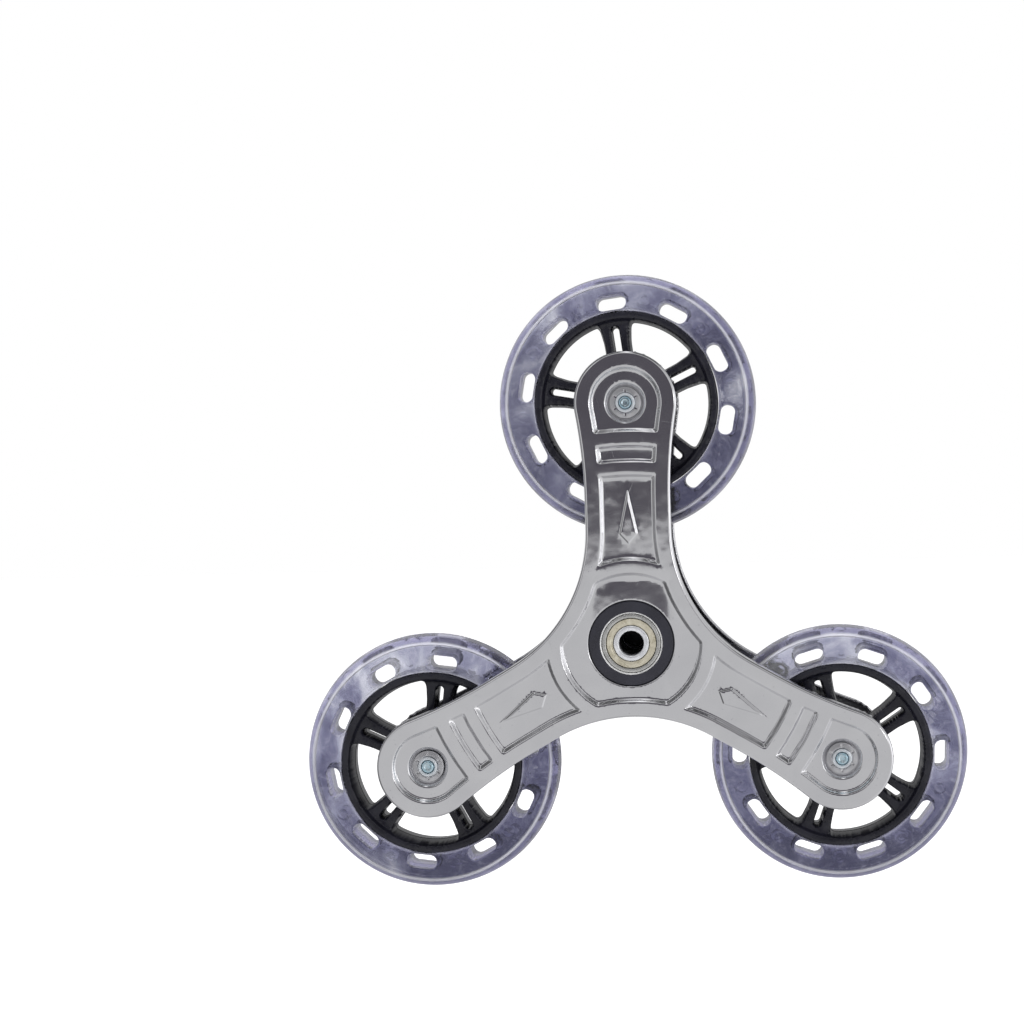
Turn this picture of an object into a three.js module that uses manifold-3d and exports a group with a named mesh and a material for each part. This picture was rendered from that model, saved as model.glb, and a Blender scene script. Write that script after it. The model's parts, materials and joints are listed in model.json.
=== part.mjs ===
// Three-wheel climbing carrier for a stair trolley.
// Two pressed, chromed star plates hold a moulded core and three see-through tyred wheels.
// The carrier turns on a pair of ball bearings, which sit on the trolley's axle.
//
// Units are millimetres. The carrier turns about Y, through the origin. The open bearing faces -Y
// (the front), the end cap faces +Y (the rear), and one arm points to +Z. Pieces that come in front
// and rear pairs are drawn at the rear, and the front one is the same piece turned half round Z.

import * as THREE from 'three';
import { mergeVertices, toCreasedNormals } from 'three/addons/utils/BufferGeometryUtils.js';
import Module from 'manifold-3d';

const wasm = await Module();
wasm.setup();

// ---------------------------------------------------------------- driving dimensions

const GAP = 0.3;                 // clearance between neighbouring pieces
const ARM = 115;                 // hub axis to wheel axis
const ARMS = { top: 90, left: 210, right: 330 };             // degrees, seen from the front
const ROLLED = { top: 7.5, left: -7.5, right: 16.5 };        // how far each wheel has turned

const PLATE_Y = 27;              // outside face of a star plate
const SHEET = 1.2;               // thickness of the plate metal
const FLANGE = 7.6;              // depth of the plate's turned edge
const EDGE = 0.9;                // bevel that stands for the bend
const TIP_R = 24.5;              // round end of an arm
const WAIST = 20.5;              // half the width of an arm where it is narrowest
const HOLLOW = 35.3;             // hub axis to the nearest point of the plate's edge
const FLARE_R = 250;             // long curve from the waist to the tip

const PAD_RIM = 7.5;             // plate edge to the pressed-in pads
const PAD_DEPTH = 1.8;           // depth of the pads
const PAD_WALL = 1.5;            // run of a pad's sloping wall
const PADS = [[33, 80.5], [86.5, 94.5], [101, ARM + TIP_R]]; // pads along an arm, from and to
const PAD_START_R = 40;          // curved inner end of the long pad
const HUB_PAD_R = 34;            // pad round the hub
const KITE = [[0, 47.5], [4.5, 52.5], [0, 73.5], [-4.5, 52.5]];
const KITE_HEIGHT = 1.1;         // how far the kite stands up from the long pad
const DISH = { r: 9.7, floorR: 7.9, depth: 2.2 };            // countersunk seat of a wheel bolt

const BOSS_R = 20.2;             // plastic boss that shows round the hub bearing
const CORE_INSET = 2;            // plate edge to the core's curved wall
const CORE_WALL = 2.6;
const LIP_TURN = 21.5;           // degrees of the hollow's arc, from its middle to the core's lip
const POCKET_R = 72;             // wheel pocket in the core
const LIP_WIDTH = 1.6;           // step from the core's lip to the pocket

const SEAT_LIP = 3;               // shoulder in the core that a hub bearing sits against
const SEAT_BEVEL = 0.7;
const BEARING_INSET = 0.2;        // bearing face below the core's boss

const BEARING = { bore: 6, inner: 8.5, outerIn: 12.2, outer: 14, width: 8, shield: 0.5 };
const WHEEL_BEARING = { bore: 3.2, inner: 4.7, outerIn: 7.6, outer: 9.5, width: 6, shield: 0.6 };

const WHEEL_R = 62.5;            // outside of the tyre
const WHEEL_HALF = 12.8;         // half the width of a wheel
const RIM_R = 44.2;              // outside of the plastic rim
const RIM_WALL = 3.8;
const HUB_INSET = 0.2;            // rim face below the tyre's
const RIM_RIDGE = 0.9;           // how far the rim's inside stands in at its middle
const TREAD = [[WHEEL_R, 0], [61.9, 5], [59.6, 8.8], [46.5, WHEEL_HALF]]; // radius and height
const SLOTS = { count: 10, at: 48.9, length: 14.6, width: 7.2 };
const SPOKES = { count: 5, half: 10.2, slotFrom: 17, slotTo: 37.6, slotHalf: 2 };
const SPOKE_EDGE = [[5.4, 12], [5.7, 30], [6.8, 37.5], [9, 40.4], [9, 42]]; // flares to the rim
const WHEEL_BOSS_R = 13.5;
const RACE_LIP = 2;              // shoulder in the wheel that a wheel bearing sits against

const SPACER_R = { inner: 5, side: 6 };
const BOLT = { r: 2.9, recess: 1.2, chamfer: 0.6 };           // its end stops short of the plate's face
const BOLT_HEAD = { r: 7.7, edge: 1, domeR: 5.4, domeEdge: 2.6, high: 3.1 };
const NUT = { r: 4.7, high: 2.3 };
const WASHER = { r: 7.6, toothR: 5, gapR: 6.3, teeth: 6, gap: 14, high: 1.1 }; // gap in degrees

const NECK = { r: 12, footR: 8.2, foot: 1 };  // retainer on the trolley axle, behind the bearing
const AXLE_PLAY = 0.2;           // extra radius of the bore beyond the bearings
const CAP = { r: 19.7, y: 34.2, edge: 2.8, bevel: 0.9, dome: 1.2 };
const WIRE_R = 0.8;              // spring clip
const CLIP = { x: 7, y: 31, low: -9.5, high: 28, lean: 8.6 };

// ---------------------------------------------------------------- values that follow

const rad = (degrees) => degrees * Math.PI / 180;
const COS30 = Math.cos(rad(30));
// The hollow between two arms is one arc that runs into both waists.
const NOTCH_R = (HOLLOW * COS30 - WAIST) / (1 - COS30);
const NOTCH = [(HOLLOW + NOTCH_R) * COS30, (HOLLOW + NOTCH_R) / 2];
// The flare touches the waist at this height, and the tip's circle after this many degrees.
const FLARE_Z = ARM - Math.sqrt((FLARE_R + TIP_R) ** 2 - (FLARE_R + WAIST) ** 2);
const FLARE_TURN = Math.asin((ARM - FLARE_Z) / (FLARE_R + TIP_R)) * 180 / Math.PI;

const FLOOR_Y = PLATE_Y - PAD_DEPTH;         // outside face of the pads
const DISH_Y = FLOOR_Y - DISH.depth;         // outside face of a bolt's seat
const CORE_Y = FLOOR_Y - SHEET - GAP;        // the core stops short of the pads
const BEARING_Y = FLOOR_Y - BEARING_INSET;   // outside face of the hub bearing
const SEAT_Y = BEARING_Y - BEARING.width;    // inside face of the hub bearing
const HUB_HALF = WHEEL_HALF - HUB_INSET;     // half the width of a wheel's plastic hub
const RACE_Y = HUB_HALF - WHEEL_BEARING.width;

// ---------------------------------------------------------------- drawing

// Points along an arc, both ends included. Degrees count from +X towards +Z.
function arc([x, z], radius, from, to, steps) {
  return Array.from({ length: steps + 1 }, (_, i) => {
    const a = rad(from + (to - from) * i / steps);
    return [x + radius * Math.cos(a), z + radius * Math.sin(a)];
  });
}

// The same right-hand half of an arm, mirrored and repeated for all three arms, drawn
// anticlockwise. The half runs from the middle of a hollow up to the arm's end.
function threeArms(half, end) {
  const left = half.map(([x, z]) => [-x, z]).reverse();
  const arm = [...half.slice(1), ...end, ...left];
  return Object.values(ARMS).flatMap((angle) => arm.map(([x, z]) => {
    const a = rad(angle - 90);
    return [x * Math.cos(a) - z * Math.sin(a), x * Math.sin(a) + z * Math.cos(a)];
  }));
}

// Outline of a star plate, moved inwards by `inset`.
function star(inset) {
  const half = [
    ...arc(NOTCH, NOTCH_R + inset, 210, 180, 4),
    ...arc([WAIST + FLARE_R, FLARE_Z], FLARE_R + inset, 180, 180 - FLARE_TURN, 2),
  ];
  return threeArms(half, arc([0, ARM], TIP_R - inset, -FLARE_TURN, 180 + FLARE_TURN, 11).slice(1, -1));
}

// Outline of the core, moved inwards by `inset`: curved walls between the arms, and a wheel
// pocket at each arm with a lip on either side.
function coreOutline(inset) {
  const half = arc(NOTCH, NOTCH_R + CORE_INSET + inset, 210, 210 - LIP_TURN, 5);
  const [lipX] = half.at(-1);
  const turn = Math.asin((lipX - LIP_WIDTH) / (POCKET_R + inset)) * 180 / Math.PI;
  return threeArms(half, arc([0, ARM], POCKET_R + inset, 270 + turn, 270 - turn, 4));
}

// Outline of a slot with round ends, along X, centred on a point.
function slotOutline([x, z], length, width, steps) {
  const reach = (length - width) / 2;
  return [
    ...arc([x + reach, z], width / 2, -90, 90, steps),
    ...arc([x - reach, z], width / 2, 90, 270, steps),
  ];
}

// ---------------------------------------------------------------- solids

// A plate cut to an outline in the XZ plane. Both faces can be bevelled: `rise` along Y and
// `run` inwards.
function slab(points, y0, y1, rise = 0, run = 0) {
  const shape = new THREE.Shape(points.map(([x, z]) => new THREE.Vector2(x, z)));
  const geometry = new THREE.ExtrudeGeometry(shape, {
    depth: y1 - y0 - 2 * rise,
    bevelEnabled: rise > 0,
    bevelThickness: rise,
    bevelSize: run,
    bevelOffset: -run,
    bevelSegments: 1,
  });
  geometry.rotateX(Math.PI / 2);
  return geometry.translate(0, y1 - rise, 0);
}

// A piece turned about Y from a [radius, y] section, listed with its outer wall going up.
// A section that starts on the axis must also end there. Any other is closed into a ring.
function spin(section, segments) {
  const closed = section[0][0] === 0 ? section : [...section, section[0]];
  return new THREE.LatheGeometry(closed.map(([r, y]) => new THREE.Vector2(r, y)), segments);
}

// A plain ring or disc between two radii and two heights.
function ring(inner, outer, y0, y1, segments) {
  return spin([[inner, y0], [outer, y0], [outer, y1], [inner, y1]], segments);
}

function turned(geometry, degrees) {
  return geometry.clone().rotateY(-rad(degrees));
}

// `count` copies of a piece, spread evenly round Y.
function around(geometry, count) {
  return Array.from({ length: count }, (_, i) => turned(geometry, 360 * i / count));
}

// ---------------------------------------------------------------- joining and cutting

function toSolid(geometry) {
  const bare = geometry.clone();
  bare.deleteAttribute('normal');
  bare.deleteAttribute('uv');
  const merged = mergeVertices(bare, 1e-4);
  const corners = Array.from(merged.index.array);
  const triVerts = [];
  for (let i = 0; i < corners.length; i += 3) {
    const [a, b, c] = corners.slice(i, i + 3);
    if (a !== b && b !== c && c !== a) triVerts.push(a, b, c);
  }
  return new wasm.Manifold(new wasm.Mesh({
    numProp: 3,
    vertProperties: merged.attributes.position.array,
    triVerts: new Uint32Array(triVerts),
  }));
}

function toGeometry(solid) {
  const { vertProperties, triVerts } = solid.getMesh();
  const geometry = new THREE.BufferGeometry();
  geometry.setAttribute('position', new THREE.BufferAttribute(vertProperties, 3));
  geometry.setIndex(new THREE.BufferAttribute(triVerts, 1));
  return toCreasedNormals(geometry, rad(30));
}

function joined(...geometries) {
  return geometries.flat().map(toSolid).reduce((whole, piece) => whole.add(piece));
}

// ---------------------------------------------------------------- star plates

// The space that the pads take up between two heights, moved outwards by `spread`. Its walls
// slope in towards the bottom by `rise` and `run`.
function padSpace(bottom, top, spread, rise, run) {
  const brim = bottom + rise;
  const bands = PADS.flatMap(([from, to]) => {
    const box = [[-30, from - spread], [30, from - spread], [30, to + spread], [-30, to + spread]];
    return around(slab(box, bottom, top, rise, run), 3);
  });
  const start = PAD_START_R - spread;
  const stop = spin([[0, bottom - 1], [start + run, bottom - 1], [start + run, bottom],
    [start, brim], [start, top + 1], [0, top + 1]], 30);
  const hubR = HUB_PAD_R + spread;
  const hub = spin([[0, bottom], [hubR - run, bottom], [hubR, brim], [hubR, top], [0, top]], 30);
  const within = slab(star(PAD_RIM - spread), bottom, top, rise, run);
  return joined(bands).subtract(toSolid(stop)).add(toSolid(hub)).intersect(toSolid(within));
}

function plate() {
  const back = PLATE_Y - FLANGE;
  const blank = toSolid(slab(star(0), back - 3, PLATE_Y, EDGE, EDGE));
  const inside = joined(slab(star(SHEET), back - 5, PLATE_Y - SHEET), slab(star(-2), back - 4, back));
  const pressed = padSpace(FLOOR_Y - SHEET, PLATE_Y - SHEET / 2, SHEET / 2, 0, 0);
  const pads = padSpace(FLOOR_Y, PLATE_Y + 2 * PAD_DEPTH, 0, PAD_DEPTH, PAD_WALL);

  const kite = slab(KITE, FLOOR_Y - KITE_HEIGHT, FLOOR_Y + KITE_HEIGHT, KITE_HEIGHT, 0.9);
  const seat = ring(0, DISH.r + 1, DISH_Y - SHEET, FLOOR_Y - SHEET / 2, 16).translate(0, 0, ARM);
  const dish = spin([[0, DISH_Y], [DISH.floorR, DISH_Y], [DISH.r, FLOOR_Y], [DISH.r, FLOOR_Y + 3],
    [0, FLOOR_Y + 3]], 16).translate(0, 0, ARM);
  const boltHole = ring(0, BOLT.r + GAP, 0, PLATE_Y, 8).translate(0, 0, ARM);
  const hubHole = ring(0, BOSS_R + GAP, 0, PLATE_Y, 32);

  return blank.subtract(inside)
    .add(pressed).subtract(pads)
    .add(joined(around(kite, 3), around(seat, 3)))
    .subtract(joined(around(dish, 3), around(boltHole, 3), hubHole));
}

// ---------------------------------------------------------------- moulded core

// Half of the core: a shallow tray with a boss that carries the hub bearing.
function coreHalf() {
  const tray = toSolid(slab(coreOutline(0), GAP / 2, CORE_Y));
  const hollow = toSolid(slab(coreOutline(CORE_WALL), -1, CORE_Y - CORE_WALL));
  const boss = toSolid(ring(0, BOSS_R, GAP / 2, FLOOR_Y, 32));
  const seatR = BEARING.outer + GAP;
  const lipR = seatR - SEAT_LIP;
  const mouthR = seatR + SEAT_BEVEL;
  const bore = spin([[0, -1], [lipR, -1], [lipR, SEAT_Y - GAP], [seatR, SEAT_Y - GAP],
    [seatR, FLOOR_Y - SEAT_BEVEL], [mouthR, FLOOR_Y], [mouthR, PLATE_Y], [0, PLATE_Y]], 20);
  return tray.subtract(hollow).add(boss).subtract(toSolid(bore));
}

// ---------------------------------------------------------------- hub bearing

const bearingInner = () => ring(BEARING.bore, BEARING.inner, SEAT_Y, BEARING_Y, 20);
const bearingOuter = () => ring(BEARING.outerIn, BEARING.outer, SEAT_Y, BEARING_Y, 20);
const bearingShield = () => ring(BEARING.inner + GAP, BEARING.outerIn - GAP,
  BEARING_Y - 2 * BEARING.shield, BEARING_Y - BEARING.shield, 20);

// The set of balls, as one rounded ring between the races.
function bearingBalls() {
  const middle = (BEARING.inner + BEARING.outerIn) / 2;
  const y = BEARING_Y - BEARING.width / 2;
  const section = arc([middle, y], (BEARING.outerIn - BEARING.inner) / 2 - GAP, 0, 300, 5);
  return spin(section, 20);
}

// ---------------------------------------------------------------- wheels

function tyre() {
  const half = [...TREAD, [RIM_R + GAP, WHEEL_HALF]];
  const mirrored = half.slice(1).map(([r, y]) => [r, -y]).reverse();
  const body = spin([...mirrored, ...half], 36);
  const slot = slab(slotOutline([0, SLOTS.at], SLOTS.length, SLOTS.width, 3), -20, 20);
  return toSolid(body).subtract(joined(around(slot, SLOTS.count)));
}

// Pairs of bars with a slot between them, flared where they meet the rim.
function spokes() {
  const points = [...SPOKE_EDGE, ...SPOKE_EDGE.map(([x, z]) => [-x, z]).reverse()];
  const bar = slab(points, -SPOKES.half, SPOKES.half);
  const length = SPOKES.slotTo - SPOKES.slotFrom;
  const middle = [(SPOKES.slotTo + SPOKES.slotFrom) / 2, 0];
  const slot = slab(slotOutline(middle, length, 2 * SPOKES.slotHalf, 3), -20, 20);
  return joined(around(bar, SPOKES.count)).subtract(joined(around(turned(slot, 90), SPOKES.count)));
}

function wheelHub() {
  const rimIn = RIM_R - RIM_WALL;
  const rim = spin([[rimIn, -HUB_HALF], [RIM_R, -HUB_HALF], [RIM_R, HUB_HALF], [rimIn, HUB_HALF],
    [rimIn - RIM_RIDGE, 0]], 32);
  const seatR = WHEEL_BEARING.outer + GAP;
  const boss = ring(0, WHEEL_BOSS_R, -HUB_HALF, HUB_HALF, 16);
  const bore = ring(0, seatR - RACE_LIP, -20, 20, 16);
  const seats = [ring(0, seatR, RACE_Y - GAP, 20, 16), ring(0, seatR, -20, GAP - RACE_Y, 16)];
  return joined(rim, boss).add(spokes()).subtract(joined(bore, seats));
}

const raceInner = () => ring(WHEEL_BEARING.bore, WHEEL_BEARING.inner, RACE_Y, HUB_HALF, 12);

// The outer ring and the shield that closes its outside face.
function raceOuter() {
  const { inner, outerIn, outer, shield } = WHEEL_BEARING;
  return spin([[outerIn, RACE_Y], [outer, RACE_Y], [outer, HUB_HALF], [inner + GAP, HUB_HALF],
    [inner + GAP, HUB_HALF - shield], [outerIn, HUB_HALF - shield]], 12);
}

// ---------------------------------------------------------------- wheel axles

const innerSpacer = () => ring(WHEEL_BEARING.bore, SPACER_R.inner, GAP - RACE_Y, RACE_Y - GAP, 10);
const sideSpacer = () => ring(WHEEL_BEARING.bore, SPACER_R.side, HUB_HALF + GAP, DISH_Y - SHEET - GAP, 10);

function bolt() {
  const { r, recess, chamfer } = BOLT;
  const { r: headR, edge, domeR, domeEdge, high } = BOLT_HEAD;
  const under = DISH_Y + GAP;
  const end = recess - PLATE_Y;
  return spin([[0, end], [r - chamfer, end], [r, end + chamfer], [r, under], [headR, under],
    [headR, under + edge], [domeR, under + domeEdge], [0, under + high]], 14);
}

const nut = () => ring(BOLT.r + GAP, NUT.r, DISH_Y + GAP, DISH_Y + GAP + NUT.high, 14);

// A locking washer with teeth round its hole, which lies in the front seat around the nut.
function washer() {
  const { r, toothR, gapR, teeth, gap, high } = WASHER;
  const pitch = 360 / teeth;
  const tooth = pitch - gap - 2;
  const hole = Array.from({ length: teeth }, (_, i) => [
    ...arc([0, 0], toothR, pitch * i - tooth / 2, pitch * i + tooth / 2, 3),
    ...arc([0, 0], gapR, pitch * (i + 0.5) - gap / 2, pitch * (i + 0.5) + gap / 2, 1),
  ]).flat();
  const blank = ring(0, r, DISH_Y + GAP, DISH_Y + GAP + high, 16);
  return toSolid(blank).subtract(toSolid(slab(hole, 0, PLATE_Y)));
}

// ---------------------------------------------------------------- on the trolley's axle

const sleeve = () => ring(BEARING.bore + AXLE_PLAY, BEARING.inner, GAP - SEAT_Y, SEAT_Y - GAP, 20);

// The neck behind the rear bearing, grooved on both sides for the spring clip.
function retainer() {
  const { r, footR, foot } = NECK;
  const bore = BEARING.bore + AXLE_PLAY;
  const base = BEARING_Y + GAP;
  const neck = spin([[bore, base], [footR, base], [footR, base + foot], [r, base + foot],
    [r, CAP.y - GAP], [bore, CAP.y - GAP]], 20);
  const half = WIRE_R + GAP;
  const groove = new THREE.BoxGeometry(20, 2 * half, 40).translate(CLIP.x - half + 10, CLIP.y, 0);
  return toSolid(neck).subtract(joined(around(groove, 2)));
}

function cap() {
  const { r, y, edge, bevel, dome } = CAP;
  return spin([[0, y], [r - bevel / 2, y], [r, y + bevel / 2], [r, y + edge - bevel],
    [r - bevel, y + edge], [r * 0.55, y + edge + dome * 0.7], [0, y + edge + dome]], 30);
}

// One bent wire: two legs in the neck's grooves, and a finger loop that leans out over the cap.
function clip() {
  const { x, y, low, high, lean } = CLIP;
  const path = new THREE.CatmullRomCurve3([
    [x, y, low], [x, y, 0], [x, y, high - 4], [x, y, high - 1.2], [x - 0.4, y + 0.6, high],
    [x - 3, y + 4, high], [0, y + lean - 1, high], [-4, y + lean, high], [-x, y + lean - 1.6, high],
    [-x - 0.8, y + 4, high], [-x - 0.2, y + 0.6, high], [-x, y, high - 1.2], [-x, y, high - 4],
    [-x, y, 0], [-x, y, low],
  ].map(([a, b, c]) => new THREE.Vector3(a, b, c)), false, 'centripetal');
  const wire = new THREE.Shape(arc([0, 0], WIRE_R, 0, 300, 5).map(([a, b]) => new THREE.Vector2(a, b)));
  return new THREE.ExtrudeGeometry(wire, { extrudePath: path, steps: 36, bevelEnabled: false });
}

// ---------------------------------------------------------------- looks

const look = (color, roughness, metalness) =>
  new THREE.MeshStandardMaterial({ color, roughness, metalness });

const CHROME = look(0xc9c9cd, 0.08, 1);
const STEEL = look(0xd2d3d6, 0.22, 1);
const SHIELD = look(0xcdc6b0, 0.4, 0.6);
const ZINC = look(0xa6c3d6, 0.25, 0.9);
const BLACK = look(0x2c2c32, 0.45, 0);
const CAP_GREY = look(0x56575f, 0.5, 0);
const TYRE = look(0x8c8cb0, 0.12, 0);
TYRE.transparent = true;
TYRE.opacity = 0.75;

// ---------------------------------------------------------------- the scene

function mesh(name, shape, material) {
  const geometry = shape.isBufferGeometry ? shape : toGeometry(shape);
  const piece = new THREE.Mesh(geometry, material);
  piece.name = name;
  return piece;
}

// A rear piece and the same piece turned to the front.
function pair(name, shape, material) {
  const rear = mesh(`${name}_rear`, shape, material);
  const front = new THREE.Mesh(rear.geometry, material);
  front.name = `${name}_front`;
  front.rotation.z = Math.PI;
  return [front, rear];
}

const carrier = new THREE.Group();
carrier.add(
  ...pair('plate', plate(), CHROME),
  ...pair('core', coreHalf(), BLACK),
  ...pair('hub_bearing_outer', bearingOuter(), STEEL),
  ...pair('hub_bearing_shield', bearingShield(), SHIELD),
  ...pair('hub_bearing_balls', bearingBalls(), STEEL),
  ...pair('hub_bearing_inner', bearingInner(), STEEL),
  mesh('axle_sleeve', sleeve(), STEEL),
  mesh('axle_retainer', retainer(), BLACK),
  mesh('end_cap', cap(), CAP_GREY),
  mesh('spring_clip', clip(), STEEL),
);

const shapes = {
  tyre: tyre(), hub: wheelHub(), outer: raceOuter(), inner: raceInner(), spacer: innerSpacer(),
  side: sideSpacer(), bolt: bolt(), nut: nut(), washer: washer(),
};

for (const [arm, angle] of Object.entries(ARMS)) {
  const axle = new THREE.Group();
  axle.position.set(ARM * Math.cos(rad(angle)), 0, ARM * Math.sin(rad(angle)));
  const wheel = new THREE.Group();
  wheel.rotation.y = -rad(ROLLED[arm]);
  wheel.add(
    mesh(`tyre_${arm}`, shapes.tyre, TYRE),
    mesh(`wheel_hub_${arm}`, shapes.hub, BLACK),
    ...pair(`wheel_bearing_outer_${arm}`, shapes.outer, STEEL),
  );
  const front = new THREE.Group();
  front.rotation.z = Math.PI;
  front.add(mesh(`nut_${arm}`, shapes.nut, STEEL), mesh(`lock_washer_${arm}`, shapes.washer, STEEL));
  axle.add(
    wheel,
    front,
    mesh(`bolt_${arm}`, shapes.bolt, ZINC),
    mesh(`inner_spacer_${arm}`, shapes.spacer, STEEL),
    ...pair(`wheel_bearing_inner_${arm}`, shapes.inner, STEEL),
    ...pair(`side_spacer_${arm}`, shapes.side, STEEL),
  );
  carrier.add(axle);
}

export default carrier;
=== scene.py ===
"""The looks of a three-wheel climbing carrier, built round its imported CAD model.

Lengths in this file are millimetres, as in the CAD source, and become metres where a mesh is made.
A section is a list of (radius, y) points that is turned about Y. A plan is an array of (x, z)
points. Pieces that come in front and rear pairs are drawn at the rear, on the +Y side.
"""

import json
import math

import bmesh
import bpy
import numpy as np
from mathutils import Matrix, Vector
from mathutils.geometry import delaunay_2d_cdt

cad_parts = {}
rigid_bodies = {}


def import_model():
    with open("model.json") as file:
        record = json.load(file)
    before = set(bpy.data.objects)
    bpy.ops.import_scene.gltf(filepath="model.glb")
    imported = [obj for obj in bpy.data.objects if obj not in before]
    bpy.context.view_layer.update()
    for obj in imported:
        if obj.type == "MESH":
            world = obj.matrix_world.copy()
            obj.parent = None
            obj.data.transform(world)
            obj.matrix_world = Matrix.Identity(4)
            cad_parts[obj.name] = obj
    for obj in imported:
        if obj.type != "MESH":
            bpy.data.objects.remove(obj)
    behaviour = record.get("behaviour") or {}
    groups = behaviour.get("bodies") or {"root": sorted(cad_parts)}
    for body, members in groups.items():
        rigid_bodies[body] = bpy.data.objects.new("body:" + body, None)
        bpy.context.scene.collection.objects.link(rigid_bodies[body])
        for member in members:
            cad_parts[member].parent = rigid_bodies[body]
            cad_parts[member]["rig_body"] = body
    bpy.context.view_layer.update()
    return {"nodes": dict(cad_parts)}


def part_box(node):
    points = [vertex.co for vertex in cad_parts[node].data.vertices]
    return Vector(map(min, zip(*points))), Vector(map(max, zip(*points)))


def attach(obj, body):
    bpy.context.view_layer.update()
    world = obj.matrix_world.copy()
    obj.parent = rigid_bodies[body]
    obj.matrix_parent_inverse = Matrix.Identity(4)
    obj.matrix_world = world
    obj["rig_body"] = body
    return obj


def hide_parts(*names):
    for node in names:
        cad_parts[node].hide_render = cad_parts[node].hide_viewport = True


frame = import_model()

# ---------------------------------------------------------------- sizes, as in the CAD source

MM = 0.001
GAP = 0.3
ARM = 115                        # hub axis to wheel axis
ARMS = ("top", "left", "right")
ROLLED = {"top": 7.5, "left": -7.5, "right": 16.5}   # how far each wheel has turned, in degrees

PLATE_Y = 27                     # outside face of a star plate
SHEET = 1.2
FLANGE = 7.6
BEND = 1.5                       # outside radius of the plate's bent edge
TIP_R = 24.5
WAIST = 20.5
HOLLOW = 35.3
FLARE_R = 250
COS30 = math.cos(math.radians(30))
NOTCH_R = (HOLLOW * COS30 - WAIST) / (1 - COS30)
NOTCH_X = (HOLLOW + NOTCH_R) * COS30
NOTCH_Z = (HOLLOW + NOTCH_R) / 2
FLARE_Z = ARM - math.sqrt((FLARE_R + TIP_R) ** 2 - (FLARE_R + WAIST) ** 2)
FLARE_TURN = math.degrees(math.asin((ARM - FLARE_Z) / (FLARE_R + TIP_R)))

PAD_RIM = 7.5
PAD_DEPTH = 1.8
LONG_PAD = (33, 80.5)
SMALL_PAD = (86.5, 94.5)
END_PAD = (101, ARM + TIP_R)
PAD_START_R = 40
HUB_PAD_R = 34
KITE = ((0, 47.5), (4.5, 52.5), (0, 73.5), (-4.5, 52.5))
DISH_R = 9.7
DISH_FLOOR_R = 7.9
DISH_DEPTH = 2.2
FLOOR_Y = PLATE_Y - PAD_DEPTH
DISH_Y = FLOOR_Y - DISH_DEPTH

BOSS_R = 20.2
CORE_INSET = 2
CORE_WALL = 2.6
CORE_Y = FLOOR_Y - SHEET - GAP
LIP_TURN = 21.5
LIP_WIDTH = 1.6
POCKET_R = 72

BORE_R = 6
INNER_RACE_R = 8.5               # outside of the hub bearing's inner ring
OUTER_RACE_R = 12.2              # inside of its outer ring
BEARING_R = 14
BEARING_Y = FLOOR_Y - 0.2
BEARING_WIDTH = 8
SEAT_Y = BEARING_Y - BEARING_WIDTH
BALL_R, BALL_COUNT = 1.55, 9

WHEEL_R = 62.5
WHEEL_HALF = 12.8
RIM_R = 44.2
RIM_IN = 40.4
HUB_HALF = 12.6
SLOT_COUNT, SLOT_AT, SLOT_LENGTH, SLOT_WIDTH, SLOT_CORNER = 10, 48.9, 14.6, 7.2, 3.3
SPOKE_COUNT, SPOKE_HALF = 5, 10.2
SPLIT_AT, SPLIT_LENGTH, SPLIT_WIDTH, SPLIT_CORNER = 27.3, 20.6, 4, 1.9   # between paired spokes
WHEEL_BOSS_R = 13.5
WHEEL_SEAT_R = 9.8               # seat of the wheel bearings
RACE_Y = HUB_HALF - 6            # inside face of a wheel bearing

BOLT_R = 2.9
BOLT_BORE_R = 3.2                # bore of whatever sits on a bolt
WASHER_R, WASHER_THICK = 7.6, 1.1
CAP_R, CAP_Y = 19.7, 34.2
CLIP_X, CLIP_Y, CLIP_LOW, CLIP_HIGH, CLIP_LEAN = 7, 31, -9.5, 28, 8.6
WIRE_R = 0.8

# ---------------------------------------------------------------- plans


def arc(centre, radius, start, stop, steps):
    """Points of an arc, both ends included. Degrees count from +X towards +Z."""
    turn = np.radians(np.linspace(start, stop, steps + 1))
    return np.stack([centre[0] + radius * np.cos(turn), centre[1] + radius * np.sin(turn)], 1)


def circle(radius, steps, centre=(0, 0)):
    """A closed circle, anticlockwise, without a repeated last point."""
    return arc(centre, radius, 0, 360, steps)[:-1]


def spun(plan, degrees):
    """A plan turned about the origin, from +X towards +Z."""
    c, s = math.cos(math.radians(degrees)), math.sin(math.radians(degrees))
    return plan @ np.array([[c, s], [-s, c]])


def three_arms(half, end):
    """Mirrors the right-hand half of the top arm and repeats the arm three times."""
    arm = np.concatenate([half[1:], end, half[::-1] * [-1, 1]])
    return np.concatenate([spun(arm, turn) for turn in (0, 120, 240)])


def star(inset):
    """Outline of a star plate, moved inwards. Every inset gives the same number of points."""
    half = np.concatenate([
        arc((NOTCH_X, NOTCH_Z), NOTCH_R + inset, 210, 180, 44),
        arc((WAIST + FLARE_R, FLARE_Z), FLARE_R + inset, 180, 180 - FLARE_TURN, 44),
    ])
    return three_arms(half, arc((0, ARM), TIP_R - inset, -FLARE_TURN, 180 + FLARE_TURN, 200)[1:-1])


def core_outline(inset):
    """Outline of the core, moved inwards, with softened lips beside each wheel pocket."""
    wall = arc((NOTCH_X, NOTCH_Z), NOTCH_R + CORE_INSET + inset, 210, 210 - LIP_TURN, 30)
    turn = math.degrees(math.asin((wall[-1, 0] - LIP_WIDTH) / (POCKET_R + inset)))
    return three_arms(wall, arc((0, ARM), POCKET_R + inset, 270 + turn, 270 - turn, 40))


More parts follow.
